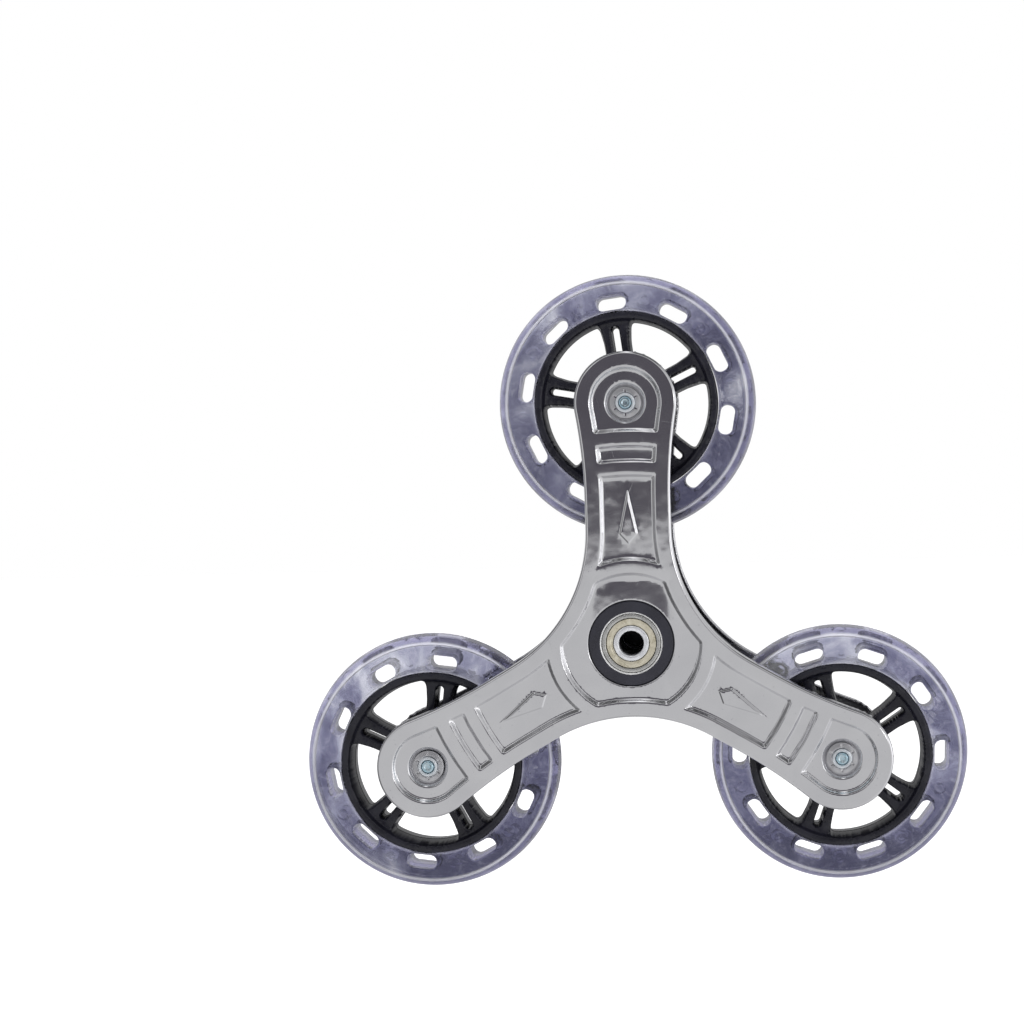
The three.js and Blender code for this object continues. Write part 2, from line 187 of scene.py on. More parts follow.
def slot(centre, length, width, corner, steps=8):
    """Outline of a rounded box along X."""
    x, z = length / 2 - corner, width / 2 - corner
    corners = [((x, -z), -90), ((x, z), 0), ((-x, z), 90), ((-x, -z), 180)]
    turned = [arc(c, corner, start, start + 90, steps) for c, start in corners]
    return evenly(np.concatenate(turned), 0.45) + centre


def evenly(loop, step):
    """The same closed loop with its points about `step` apart."""
    ends = np.concatenate([loop, loop[:1]])
    lengths = np.concatenate([[0], np.cumsum(np.hypot(*np.diff(ends, axis=0).T))])
    at = np.linspace(0, lengths[-1], max(8, round(lengths[-1] / step)), endpoint=False)
    return np.stack([np.interp(at, lengths, ends[:, 0]), np.interp(at, lengths, ends[:, 1])], 1)


def fillet(points, radii, steps=6):
    """Rounds the corners of a closed polygon. A radius of 0 keeps a corner sharp."""
    points = np.asarray(points, float)
    result = []
    for i, (corner, radius) in enumerate(zip(points, radii)):
        back, ahead = points[i - 1] - corner, points[(i + 1) % len(points)] - corner
        if radius == 0:
            result.append(corner)
            continue
        a, b = back / np.linalg.norm(back), ahead / np.linalg.norm(ahead)
        half = math.acos(np.clip(a @ b, -1, 1)) / 2
        reach = min(radius / math.tan(half), 0.49 * np.linalg.norm(back), 0.49 * np.linalg.norm(ahead))
        bisector = (a + b) / np.linalg.norm(a + b)
        middle = corner + bisector * reach / math.cos(half)
        start, stop = corner + a * reach - middle, corner + b * reach - middle
        for t in np.linspace(0, 1, steps + 1):
            swing = start * (1 - t) + stop * t
            result.append(middle + swing * np.linalg.norm(start) / np.linalg.norm(swing))
    return np.array(result)


def inside(points, loops):
    """True for each plan point that lies within the first loop and outside the others."""
    x, z = points.T
    odd = np.zeros(len(points), bool)
    for loop in loops:
        for (x0, z0), (x1, z1) in zip(loop, np.roll(loop, -1, axis=0)):
            if z0 != z1:
                odd ^= ((z0 > z) != (z1 > z)) & (x < x0 + (x1 - x0) * (z - z0) / (z1 - z0))
    return odd


def edge_distance(points, loops):
    """Distance from each plan point to the nearest edge of the loops."""
    best = np.full(len(points), np.inf)
    for loop in loops:
        for a, b in zip(loop, np.roll(loop, -1, axis=0)):
            along = b - a
            t = np.clip((points - a) @ along / (along @ along), 0, 1)
            best = np.minimum(best, np.hypot(*(points - a - t[:, None] * along).T))
    return best


def lattice(reach, step):
    """Evenly spaced points in rows, and for each the widest spacing, in steps, that still uses it."""
    rows = np.arange(-reach, reach, step * 0.866)
    columns = np.arange(-reach, reach, step)
    x, z = np.meshgrid(columns, rows)
    row, column = np.meshgrid(np.arange(len(rows)), np.arange(len(columns)), indexing="ij")
    x = x + step / 2 * (row % 2)
    spacing = np.where((row % 2 == 0) & (column % 2 == 0), 2, 1)
    spacing[(row % 4 == 0) & (column % 4 == 0)] = 4
    return np.stack([x.ravel(), z.ravel()], 1), spacing.ravel()


def triangulate(loops, inner):
    """Fills the plan between loops with triangles that use every given point, the loops' first."""
    plan = np.concatenate([*loops, inner])
    edges, first = [], 0
    for loop in loops:
        count = len(loop)
        edges += [(first + i, first + (i + 1) % count) for i in range(count)]
        first += count
    faces = delaunay_2d_cdt([Vector(p) for p in plan], edges, [], 0, 1e-5)[2]
    faces = np.array(faces)
    return plan, faces[inside(plan[faces].mean(1), loops)]


def filling(loops, reach, step, margin, near, busy):
    """Mesh points between loops: close next to the loops and at busy points, wide elsewhere."""
    points, spacing = lattice(reach, step)
    within = inside(points, loops)
    points, spacing = points[within], spacing[within]
    room = edge_distance(points, loops)
    return points[(room > margin) & ((room < near) | (spacing == 4) | busy(points))]


def with_heights(loops, heights):
    """Each loop of a triangulated plan, with the heights of its own points."""
    first = 0
    for loop in loops:
        yield loop, heights[first:first + len(loop)]
        first += len(loop)


# ---------------------------------------------------------------- meshes

SHARP = math.radians(42)         # edges that turn by more than this aren't shaded smooth


class Surface:
    """Gathers the faces of one closed mesh. Parts that meet repeat their shared points."""

    def __init__(self):
        self.points = []
        self.faces = []
        self.zones = []
        self.count = 0

    def add(self, points, faces, zone=0):
        """Faces that count their own points from 0, and the material slot they use."""
        self.points.append(np.asarray(points, float))
        self.faces += (np.asarray(faces) + self.count).tolist()
        self.zones += [zone] * len(faces)
        self.count += len(points)

    def face(self, plan, triangles, heights, zone=0):
        """A triangulated plan lifted to its heights."""
        self.add(lift(plan, heights), triangles, zone)

    def loft(self, rings, zone=0, closed=False):
        """Joins rings that have the same number of points."""
        rings = np.asarray(rings, float)
        count, around = rings.shape[:2]
        index = np.arange(count * around).reshape(count, around)
        if closed:
            index = np.concatenate([index, index[:1]])
        low, high = index[:-1], index[1:]
        quads = np.stack([low, np.roll(low, -1, 1), np.roll(high, -1, 1), high], 2)
        self.add(rings.reshape(-1, 3), quads.reshape(-1, 4), zone)

    def wall(self, loop, heights, shifts=None, zone=0):
        """A wall that stands on a loop. Shifts move its rings out of the material."""
        shifts = shifts or [0] * len(heights)
        self.loft([lift(loop + outward(loop) * shift, y) for shift, y in zip(shifts, heights)], zone)

    def lathe(self, section, steps, zone=0):
        """A closed section turned about Y."""
        turn = np.linspace(0, 2 * math.pi, steps, endpoint=False)
        rings = [np.stack([r * np.cos(turn), np.full(steps, y), r * np.sin(turn)], 1)
                 for r, y in section]
        self.loft(rings, zone, closed=True)


def build(node, surface, slot_name, materials, front=False, turn=0, centre=(0, 0, 0), shading=None):
    """Makes a piece from a surface and puts it in the place of a CAD node."""
    mesh = bpy.data.meshes.new(node + "_look")
    points = np.concatenate(surface.points) * MM
    mesh.from_pydata(points.tolist(), [], surface.faces)
    mesh.polygons.foreach_set("material_index", surface.zones)
    shape = bmesh.new()
    shape.from_mesh(mesh)
    bmesh.ops.remove_doubles(shape, verts=shape.verts, dist=1e-6)
    bmesh.ops.recalc_face_normals(shape, faces=shape.faces)
    shape.to_mesh(mesh)
    shape.free()
    mesh.shade_smooth()
    mesh.set_sharp_from_angle(angle=SHARP)
    way_round = Matrix.Rotation(math.radians(-turn), 4, "Y")
    if front:
        way_round = way_round @ Matrix.Rotation(math.pi, 4, "Z")
    normals = shading and shading(np.array([v.co for v in mesh.vertices]) / MM)
    mesh.transform(way_round)
    if shading:
        normals = normals @ np.array(way_round.to_3x3()).T
        mesh.normals_split_custom_set_from_vertices(normals.tolist())
    for material in materials:
        mesh.materials.append(material)
    piece = bpy.data.objects.new(mesh.name, mesh)
    piece.location = Vector(centre)
    bpy.context.scene.collection.objects.link(piece)
    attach(piece, frame["nodes"][node]["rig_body"])
    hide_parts(node)


def lift(plan, y):
    """Plan points raised to one height, or each to its own."""
    return np.stack([plan[:, 0], np.broadcast_to(y, len(plan)), plan[:, 1]], 1)


def outward(loop):
    """Unit directions out of the material, for an outline drawn anticlockwise or a hole clockwise."""
    ahead = np.roll(loop, -1, 0) - np.roll(loop, 1, 0)
    return np.stack([ahead[:, 1], -ahead[:, 0]], 1) / np.hypot(*ahead.T)[:, None]


def soft_step(distance, run, softness):
    """0 before a wall, 1 past its run, with soft corners."""
    near = np.sqrt(distance ** 2 + softness ** 2)
    far = np.sqrt((distance - run) ** 2 + softness ** 2)
    return (near - far + run) / (2 * run)


def soft_min(first, *others, softness=1.4):
    """The smallest of several values, blended where two are within the softness of each other."""
    for other in others:
        blend = np.clip(0.5 + 0.5 * (other - first) / softness, 0, 1)
        first = other * (1 - blend) + first * blend - softness * blend * (1 - blend)
    return first


# ---------------------------------------------------------------- star plates

# The walls are narrower and the kites lower than in the CAD source, which makes their lines crisper.
PAD_WALL, PAD_SOFTNESS = 1.25, 0.3
KITE_HEIGHT, KITE_WALL, KITE_SOFTNESS = 0.7, 0.75, 0.2
DISH_SOFTNESS = 0.25
PANEL_BOW_R = 125                # curve of the panels' ends
PANEL_SHIFT = 0.4                # how far that curve moves the ends' middles up the arm
SLUMP_START = 11                 # the hub panel sinks a little from here up to its top edge
SLUMP_SLOPE, SLUMP_END_SLOPE = 0.022, 0.1
SLUMP_HALF, SLUMP_SIDE = 19.5, 2
HOLE_ROLL, HOLE_DROP = 0.7, 0.45   # width and depth of the rolled edge round the hub's boss
CRIMP = 0.42                     # how far the turned edge buckles round an arm's tip
STEEP, SLIGHT = 0.022, 0.006     # slopes that need mesh points at each step, and at each second step


def fold(x, z):
    """Brings points to half of an upright arm: u across it, v along it."""
    turn = (np.arctan2(x, z) + math.pi / 3) % (2 * math.pi / 3) - math.pi / 3
    r = np.hypot(x, z)
    return r * np.abs(np.sin(turn)), r * np.cos(turn)


def plate_edge(u, v):
    """How far inside the plate's outline a folded point is."""
    notch = np.hypot(u - NOTCH_X, v - NOTCH_Z) - NOTCH_R
    flare = np.hypot(u - WAIST - FLARE_R, v - FLARE_Z) - FLARE_R
    side = np.where(v < NOTCH_Z, notch, np.where(v < FLARE_Z, WAIST - u, flare))
    past = v > ARM - u * math.tan(math.radians(FLARE_TURN))
    return np.where(past, TIP_R - np.hypot(u, v - ARM), side)


def kite_edge(u, v):
    """How far inside the kite a folded point is."""
    edges = []
    for (x0, z0), (x1, z1) in zip(KITE[:2], KITE[1:3]):
        length = math.hypot(x1 - x0, z1 - z0)
        edges.append(((v - z0) * (x1 - x0) - (u - x0) * (z1 - z0)) / length)
    return soft_min(*edges, softness=0.5)


def on_kite_wall(u, v):
    """True for folded points next to the wall round a kite."""
    return np.abs(kite_edge(u, v) - 0.4) < 0.7


def unevenness(x, z):
    """Slight waves of the sheet, which bend the mirror images in it."""
    return 0.035 * np.sin(x / 13 + 0.6) * np.sin(z / 10 + 1.1) + 0.02 * np.sin(x / 7 - z / 9)


def pressing(x, z):
    """How far below the plate's outside face a point of its surface is."""
    u, v = fold(x, z)
    r = np.hypot(u, v)
    rim = plate_edge(u, v) - PAD_RIM
    bowed = v + u ** 2 / (2 * PANEL_BOW_R) - PANEL_SHIFT
    pads = (
        soft_min(rim, r - PAD_START_R, LONG_PAD[1] - bowed),
        soft_min(rim, bowed - SMALL_PAD[0], SMALL_PAD[1] - bowed),
        soft_min(rim, bowed - END_PAD[0]),
        soft_min(rim, HUB_PAD_R - r, softness=0.8),
    )
    depth = PAD_DEPTH * sum(soft_step(pad, PAD_WALL, PAD_SOFTNESS) for pad in pads)
    depth -= KITE_HEIGHT * soft_step(kite_edge(u, v), KITE_WALL, KITE_SOFTNESS)
    seat = DISH_R - np.hypot(u, v - ARM)
    depth += DISH_DEPTH * soft_step(seat, DISH_R - DISH_FLOOR_R, DISH_SOFTNESS)
    slump = np.minimum(SLUMP_SLOPE * (z - SLUMP_START), SLUMP_END_SLOPE * (HUB_PAD_R - z))
    depth += np.clip(slump, 0, None) * soft_step(SLUMP_HALF - np.abs(x), SLUMP_SIDE, 0.6)
    roll = np.clip((BOSS_R + GAP + HOLE_ROLL - r) / HOLE_ROLL, 0, 1)
    return depth + HOLE_DROP * roll ** 2 + unevenness(x, z) * np.clip(plate_edge(u, v) / 4, 0, 1)


def pressed_normals(points):
    """Exact normals for the points of a plate's outside face, and zeros for all its others."""
    x, y, z = points.T
    step = 0.02
    depth = pressing(x, z)
    across = (pressing(x + step, z) - pressing(x - step, z)) / (2 * step)
    along = (pressing(x, z + step) - pressing(x, z - step)) / (2 * step)
    normals = np.stack([across, np.ones(len(x)), along], 1)
    normals /= np.linalg.norm(normals, axis=1)[:, None]
    u, v = fold(x, z)
    from_hole = np.minimum(np.hypot(x, z) - BOSS_R - GAP, np.hypot(u, v - ARM) - BOLT_R - GAP)
    on_face = (np.abs(PLATE_Y - depth - y) < 0.01) & (plate_edge(u, v) > BEND - 0.02)
    return normals * (on_face & (from_hole > 0.05))[:, None]


def crimps(rim):
    """Buckles of the turned edge, which grow towards an arm's tip, at each point of the rim."""
    u, v = fold(*rim.T)
    along = np.cumsum(np.hypot(*(rim - np.roll(rim, 1, 0)).T))
    near_tip = np.clip((v - ARM + 7) / 8, 0, 1)
    folds = np.abs(np.sin(along / 1.15 + 1.4 * np.sin(along / 5.3)))
    return CRIMP * near_tip * (1 - 1.6 * folds + 0.5 * np.sin(along / 2.9 + 2))


def pressing_points():
    """Mesh points of the pressing: close on slopes, closer on kites, in rings round the bolt seats."""
    points, spacing = lattice(150, 0.6)
    u, v = fold(*points.T)
    from_bolt = np.hypot(u, v - ARM)
    room = np.minimum(plate_edge(u, v) - BEND, np.hypot(u, v) - BOSS_R - GAP)
    room = np.minimum(room, from_bolt - BOLT_R - GAP)
    x, z = points.T
    step = 0.05
    depth = pressing(x, z)
    slope = np.hypot(pressing(x + step, z) - depth, pressing(x, z + step) - depth) / step
    wanted = (spacing == 4) | (slope > STEEP) | (room < 1.3) | ((spacing == 2) & (slope > SLIGHT))
    off_seat = (from_bolt < DISH_FLOOR_R - 0.7) | (from_bolt > DISH_R + 1)
    wanted &= (room > 0.3) & off_seat & ~on_kite_wall(u, v)
    kites = lattice(150, 0.3)[0]
    kites = kites[on_kite_wall(*fold(*kites.T))]
    radii = np.arange(DISH_FLOOR_R - 0.4, DISH_R + 0.8, 0.3)
    seat = np.concatenate([circle(r, 100, (0, ARM)) for r in radii])
    seats = [spun(seat, turn) for turn in (0, 120, 240)]
    return np.concatenate([points[wanted], kites, *seats])


def star_plate():
    """A pressed sheet: panels, kites, bolt seats and a turned edge."""
    plate = Surface()
    outline = star(BEND)
    hub_hole = circle(BOSS_R + GAP, 220)[::-1]
    bolt_holes = [spun(circle(BOLT_R + GAP, 40, (0, ARM)), turn)[::-1] for turn in (0, 120, 240)]
    loops = [outline, hub_hole, *bolt_holes]
    plan, triangles = triangulate(loops, pressing_points())
    heights = PLATE_Y - pressing(*plan.T)
    plate.face(plan, triangles, heights)
    plate.face(plan, triangles[:, ::-1], heights - SHEET, zone=2)
    for loop in loops[1:]:
        top = PLATE_Y - pressing(*loop.T)
        plate.wall(loop, [top, top - SHEET])

    edge_y = PLATE_Y - BEND
    bend = [(math.cos(t) * BEND, math.sin(t) * BEND) for t in np.radians(np.linspace(78, 0, 7))]
    rings = [lift(outline, PLATE_Y - pressing(*outline.T))]
    rings += [lift(star(BEND - run), edge_y + rise) for run, rise in bend]
    plate.loft(rings)

    rim, inner = star(0), star(SHEET)
    push = outward(rim) * crimps(rim)[:, None]
    lowest = PLATE_Y - FLANGE
    drops = [(t ** 1.3, edge_y - (edge_y - lowest - 0.25) * t) for t in np.linspace(0, 1, 9)]
    outside = [lift(rim + push * bulge, y) for bulge, y in drops]
    lip = [lift(rim * share + inner * (1 - share) + push, lowest) for share in (0.8, 0.2)]
    inside_face = [lift(inner + push * bulge, y) for bulge, y in drops[::-1]]
    plate.loft([*outside, *lip, inside_face[0]], zone=1)
    under = lift(outline, PLATE_Y - SHEET - pressing(*outline.T))
    plate.loft([*inside_face, under], zone=2)
    return plate


# ---------------------------------------------------------------- core


def core_half():
    """A shallow tray with a boss that carries the hub bearing."""
    half = Surface()
    top_edge, parting_edge = 0.6, 0.25
    outer, inner = core_outline(0), core_outline(CORE_WALL)
    softened, eased = core_outline(top_edge), core_outline(parting_edge)
    low, under = GAP / 2, CORE_Y - CORE_WALL
    half.wall(outer, [low + parting_edge, CORE_Y - top_edge])
    half.loft([lift(outer, CORE_Y - top_edge), lift(softened, CORE_Y)])
    half.loft([lift(outer, low + parting_edge), lift(eased, low)])
    half.loft([lift(eased, low), lift(inner, low)])
    half.wall(inner, [low, under])
    boss = circle(BOSS_R, 160)[::-1]
    points = lattice(90, 3)[0]
    for loop, y in ((softened, CORE_Y), (inner, under)):
        kept = points[inside(points, [loop, boss])]
        kept = kept[edge_distance(kept, [loop, boss]) > 1]
        plan, triangles = triangulate([loop, boss], kept)
        half.face(plan, triangles, np.full(len(plan), y))
    seat_r = BEARING_R + GAP
    section = [(BOSS_R, CORE_Y), (BOSS_R, FLOOR_Y - 0.4), (BOSS_R - 0.4, FLOOR_Y), (seat_r + 0.7, FLOOR_Y),
               (seat_r, FLOOR_Y - 0.7), (seat_r, SEAT_Y - GAP), (seat_r - 3, SEAT_Y - GAP),
               (seat_r - 3, low), (BOSS_R, low), (BOSS_R, under)]
    # The bevel at the bearing seat's mouth takes zone 1, a bright metal finish that paints a highlight on
    # the black plastic.
    for first, last, zone in ((0, 4, 0), (3, 5, 1), (4, 10, 0)):
        half.loft([lift(circle(r, 160), y) for r, y in section[first:last]], zone)
    return half


# ---------------------------------------------------------------- wheels

SIDE_END_R = 56.5                # where the tyre's flat side ends and its tread section starts
SIDE_TOP_R, SIDE_LOW = 46.2, (57.4, 10.1)     # its side slopes from full height down to here
RIDGE_R, RIDGE_HEIGHT, RIDGE_HALF = 45.1, 0.22, 0.4
MARK_AT, MARK_R, MARK_HEIGHT, MARK_HALF = 50.4, 2.5, 0.22, 0.32
TYRE_EDGE, HUB_EDGE = 0.7, 0.6   # radius of the moulded edges
TREAD = fillet([(SIDE_END_R - 4, 11.2), (57.3, 10.0), (57.7, 10.5), (58.5, 10.3), (59.7, 8.6), (61.6, 5.4),
                (WHEEL_R, 0), (61.6, -5.4)], [0, 0.25, 0.35, 0.4, 1.2, 3.5, 20, 0], steps=5)


def side_height(r):
    """Height of the tyre's side, with a thin raised ridge next to the rim."""
    slope = (WHEEL_HALF - SIDE_LOW[1]) / (SIDE_LOW[0] - SIDE_TOP_R)
    flat = WHEEL_HALF - slope * np.sqrt(np.clip(r - SIDE_TOP_R, 0, None) ** 2 + 0.5)
    return flat + 0.5 * slope + RIDGE_HEIGHT * np.exp(-((r - RIDGE_R) / RIDGE_HALF) ** 2)


def rounded(distance, radius):
    """How far a rounded edge has dropped at a distance from it."""
    return radius * (1 - np.sqrt(1 - np.clip(1 - distance / radius, 0, 1) ** 2))


def tyre():
    """A cast tyre with slots through it, a ring mark between each two, and parting flash."""
    shape = Surface()
    steps = 360
    angles = [360 * i / SLOT_COUNT for i in range(SLOT_COUNT)]
    slots = [spun(slot((0, SLOT_AT), SLOT_LENGTH, SLOT_WIDTH, SLOT_CORNER), a)[::-1] for a in angles]
    bore, rim = circle(RIM_R + GAP, steps)[::-1], circle(SIDE_END_R, steps)
    loops = [rim, bore, *slots]
    marks = np.concatenate([spun(np.array([[0, MARK_AT]]), 180 / SLOT_COUNT + a) for a in angles])

    def to_ring(points):
        """Distance from each point to the nearest ring mark."""
        away = np.hypot(*(points[None] - marks[:, None]).transpose(2, 0, 1))
        return np.abs(np.min(away, axis=0) - MARK_R)

    def on_ring(points):
        """True next to a ring mark."""
        return to_ring(points) < 0.7

    points = filling(loops, reach=60, step=0.55, margin=0.25, near=1.3, busy=on_ring)
    plan, triangles = triangulate(loops, points)
    heights = side_height(np.hypot(*plan.T)) - rounded(edge_distance(plan, slots), TYRE_EDGE)
    heights += MARK_HEIGHT * np.exp(-(to_ring(plan) / MARK_HALF) ** 2)
    shape.face(plan, triangles, heights)
    shape.face(plan, triangles[:, ::-1], -heights)
    for loop, top in with_heights(loops, heights):
        if loop is not rim:
            flash = 0.12 if loop is not bore else 0
            shape.wall(loop, [top, 0.2, 0, -0.2, -top], [0, 0, flash, 0, 0])
    half = [p for p in TREAD if p[0] > SIDE_END_R + 0.2 and p[1] > 0.3]
    section = [(SIDE_END_R, side_height(SIDE_END_R)), *half, (WHEEL_R + 0.05, 0)]
    section += [(r, -y) for r, y in section[-2::-1]]
    shape.loft([lift(circle(r, steps), y) for r, y in section])
    return shape


def wheel_window():
    """The opening between two pairs of spokes, with soft corners."""
    bar = np.array([(5.4, 12.37), (5.7, 30), (6.8, 37.5), (8.4, 39.52)])
    far = spun(bar * [-1, 1], -360 / SPOKE_COUNT)[::-1]
    turns = [math.degrees(math.atan2(p[1], p[0])) for p in (bar[-1], far[0], far[-1], bar[0])]
    rim = arc((0, 0), RIM_IN, turns[0], turns[1], 60)[1:-1]
    boss = arc((0, 0), WHEEL_BOSS_R, turns[2], turns[3], 20)[1:-1]
    loop = evenly(np.concatenate([bar, rim, far, boss]), 0.4)
    for _ in range(2):
        loop = sum(np.roll(loop, k, 0) for k in range(-3, 4)) / 7
    return loop


def wheel_hub():
    """A moulded rim, five pairs of spokes and a boss, parted at mid-plane."""
    shape = Surface()
    turns = [360 * i / SPOKE_COUNT for i in range(SPOKE_COUNT)]
    window = wheel_window()
    split = spun(slot((0, 0), SPLIT_LENGTH, SPLIT_WIDTH, SPLIT_CORNER), 90) + [0, SPLIT_AT]
    windows = [spun(window, a) for a in turns]
    splits = [spun(split, a)[::-1] for a in turns]
    rim, seat = circle(RIM_R, 240), circle(WHEEL_SEAT_R, 90)[::-1]
    loops = [rim, seat, *windows, *splits]

    def at_step(points):
        """True next to the rim's and the boss's steps."""
        r = np.hypot(*points.T)
        return (np.abs(r - RIM_IN) < 1.2) | (np.abs(r - WHEEL_BOSS_R) < 1.2)

    points = filling(loops, reach=46, step=0.62, margin=0.3, near=1.2, busy=at_step)
    plan, triangles = triangulate(loops, points)
    r = np.hypot(*plan.T)
    raised = soft_step(r - RIM_IN + 0.6, 1, 0.3) + 1 - soft_step(r - WHEEL_BOSS_R, 1, 0.3)
    heights = SPOKE_HALF + (HUB_HALF - SPOKE_HALF) * raised
    heights -= rounded(edge_distance(plan, loops), HUB_EDGE)
    shape.face(plan, triangles, heights)
    shape.face(plan, triangles[:, ::-1], -heights)
    shoulder = RACE_Y - GAP
    for loop, top in with_heights(loops, heights):
        if loop is seat:
            levels = [top, shoulder, shoulder, -shoulder, -shoulder, -top]
            shape.wall(loop, levels, [0, 0, 2, 2, 0, 0])
        elif loop is rim:
            shape.wall(loop, [top, -top])
        else:
            draft = 0.85 if any(loop is w for w in windows) else 0.4
            shape.wall(loop, [top, 0.3, 0.22, -0.22, -0.3, -top],
                       [0, draft, draft + 0.14, draft + 0.14, draft, 0])
    return shape


# ---------------------------------------------------------------- turned pieces


def turned(section, radii, steps=72):
    """A closed section with rounded corners, turned about Y."""
    shape = Surface()
    shape.lathe(fillet(section, radii, 4), steps)
    return shape


def box_section(r0, r1, y0, y1, chamfer, steps=72):
    """A ring of rectangular section with rounded corners."""
    return turned([(r0, y0), (r1, y0), (r1, y1), (r0, y1)], [chamfer] * 4, steps)


def balls():
    """The balls of the hub bearing, spread evenly round it."""
    shape, ball = Surface(), Surface()
    rise = np.linspace(-1.57, 1.57, 11)
    ball.lathe(BALL_R * np.stack([np.cos(rise), np.sin(rise)], 1), 16)
    centre_r, y = (INNER_RACE_R + OUTER_RACE_R) / 2, BEARING_Y - BEARING_WIDTH / 2
    for i in range(BALL_COUNT):
        turn = 2 * math.pi * i / BALL_COUNT
        shift = [centre_r * math.cos(turn), y, centre_r * math.sin(turn)]
        shape.add(ball.points[0] + shift, ball.faces)
    return shape


def washer():
    """A toothed lock washer: a dished ring cut by radial notches from its hole."""
    shape = Surface()
    teeth, tooth, notch = 6, 5.0, 6.3
    hole = []
    for i in range(teeth):
        hole += [*arc((0, 0), tooth, 60 * i - 26, 60 * i + 26, 12)]
        hole += [*arc((0, 0), notch, 60 * i + 27.5, 60 * i + 32.5, 3)]
    loops = [circle(WASHER_R, 90), np.array(hole)[::-1]]
    points = lattice(8, 0.4)[0]
    kept = points[inside(points, loops)]
    plan, triangles = triangulate(loops, kept[edge_distance(kept, loops) > 0.2])
    low = DISH_Y + GAP
    dished = low + WASHER_THICK - 0.35 * np.clip((np.hypot(*plan.T) - tooth) / (WASHER_R - tooth), 0, 1)
    heights = dished - rounded(edge_distance(plan, loops), 0.25)
    shape.face(plan, triangles, heights)
    shape.face(plan, triangles[:, ::-1], low)
    for loop, top in with_heights(loops, heights):
        shape.wall(loop, [top, low])
    return shape


def bearing_ring(r0, r1, chamfer):
    """One ring of the rear hub bearing."""
    return box_section(r0, r1, SEAT_Y, BEARING_Y, chamfer, 120)


def pressed_shield():
    """A thin shield with a rolled outer edge and a shallow step."""
    face, thick = BEARING_Y - 0.5, 0.5
    section = [(8.8, face - 0.15), (9.6, face - 0.15), (10.1, face - 0.02), (11.2, face - 0.02),
               (11.55, face), (11.85, face - 0.1), (11.8, face - thick), (8.8, face - thick)]
    return turned(section, [0.05, 0.3, 0.3, 0.2, 0.15, 0.1, 0.1, 0.1], 120)


def wheel_race():
    """A wheel bearing's outer ring and the shield that closes it."""
    section = [(7.6, RACE_Y), (9.5, RACE_Y), (9.5, HUB_HALF), (7.9, HUB_HALF), (7.6, HUB_HALF - 0.15),
               (5, HUB_HALF - 0.1), (5, HUB_HALF - 0.6), (7.6, HUB_HALF - 0.6)]
    return turned(section, [0.2, 0.3, 0.3, 0.1, 0.1, 0.1, 0.1, 0.1])


def bolt():
    """A flat domed head at the rear and a plain chamfered end at the front."""
    under, end = DISH_Y + GAP, 1.2 - PLATE_Y
    section = [(0, end + 0.35), (1.2, end + 0.35), (1.7, end), (BOLT_R - 0.5, end), (BOLT_R, end + 0.6),
               (BOLT_R, under), (7.7, under), (7.7, under + 1), (5.4, under + 2.6), (0, under + 3.1)]
    return turned(section, [0, 0.4, 0.3, 0.25, 0.3, 0.2, 0.4, 0.5, 2.5, 0], 96)


def nut():
    """A round riveting nut, flared a little at its mouth."""
    low, high = DISH_Y + GAP, DISH_Y + GAP + 2.3
    return turned([(3.2, low), (4.7, low), (4.7, high - 0.1), (4.1, high), (3.6, high), (3.2, high - 0.5)],
                  [0.1, 0.1, 0.5, 0.2, 0.3, 0.2], 72)


def end_cap():
    """A low domed cap with a soft shoulder."""
    y, edge = CAP_Y, CAP_Y + 2.8
    section = [(0, y), (CAP_R - 0.45, y), (CAP_R, y + 0.45), (CAP_R, edge - 0.9), (CAP_R - 0.9, edge),
               (CAP_R * 0.55, edge + 0.84), (0, edge + 1.2)]
    return turned(section, [0, 0.3, 0.3, 0.7, 1.2, 12, 0], 160)


def smooth_curve(path, step):
    """A smooth curve through the points of a path (centripetal Catmull-Rom)."""
    path = np.array([2 * path[0] - path[1], *path, 2 * path[-1] - path[-2]])
    curve = []
    for p0, p1, p2, p3 in zip(path, path[1:], path[2:], path[3:]):
        spans = [np.linalg.norm(b - a) ** 0.5 for a, b in ((p0, p1), (p1, p2), (p2, p3))]
        k0, k1, k2, k3 = np.cumsum([0, *spans])
        steps = max(3, int(np.linalg.norm(p2 - p1) / step))
        for t in np.linspace(k1, k2, steps, endpoint=False):
            a1 = ((k1 - t) * p0 + (t - k0) * p1) / (k1 - k0)
            a2 = ((k2 - t) * p1 + (t - k1) * p2) / (k2 - k1)
            a3 = ((k3 - t) * p2 + (t - k2) * p3) / (k3 - k2)
            b1 = ((k2 - t) * a1 + (t - k0) * a2) / (k2 - k0)
            b2 = ((k3 - t) * a2 + (t - k1) * a3) / (k3 - k1)
            curve.append(((k2 - t) * b1 + (t - k1) * b2) / (k2 - k1))
    return np.array([*curve, path[-2]])


def wire_along(curve, radius, sides):
    """A round wire along a curve, with rounded ends."""
    ahead = np.gradient(curve, axis=0)
    ahead /= np.linalg.norm(ahead, axis=1)[:, None]
    side = np.cross(ahead[0], (0, 1, 0))
    turn = np.linspace(0, 2 * math.pi, sides, endpoint=False)
    rings = [np.repeat(curve[:1], sides, 0)]
    for i, (point, way) in enumerate(zip(curve, ahead)):
        side = side - way * (side @ way)
        side /= np.linalg.norm(side)
        other = np.cross(way, side)
        from_end = min(i, len(curve) - 1 - i)
        here = radius * (0.45, 0.85, 1)[min(from_end, 2)]
        rings.append(point + here * (np.outer(np.cos(turn), side) + np.outer(np.sin(turn), other)))
    wire = Surface()
    wire.loft([*rings, np.repeat(curve[-1:], sides, 0)])
    return wire


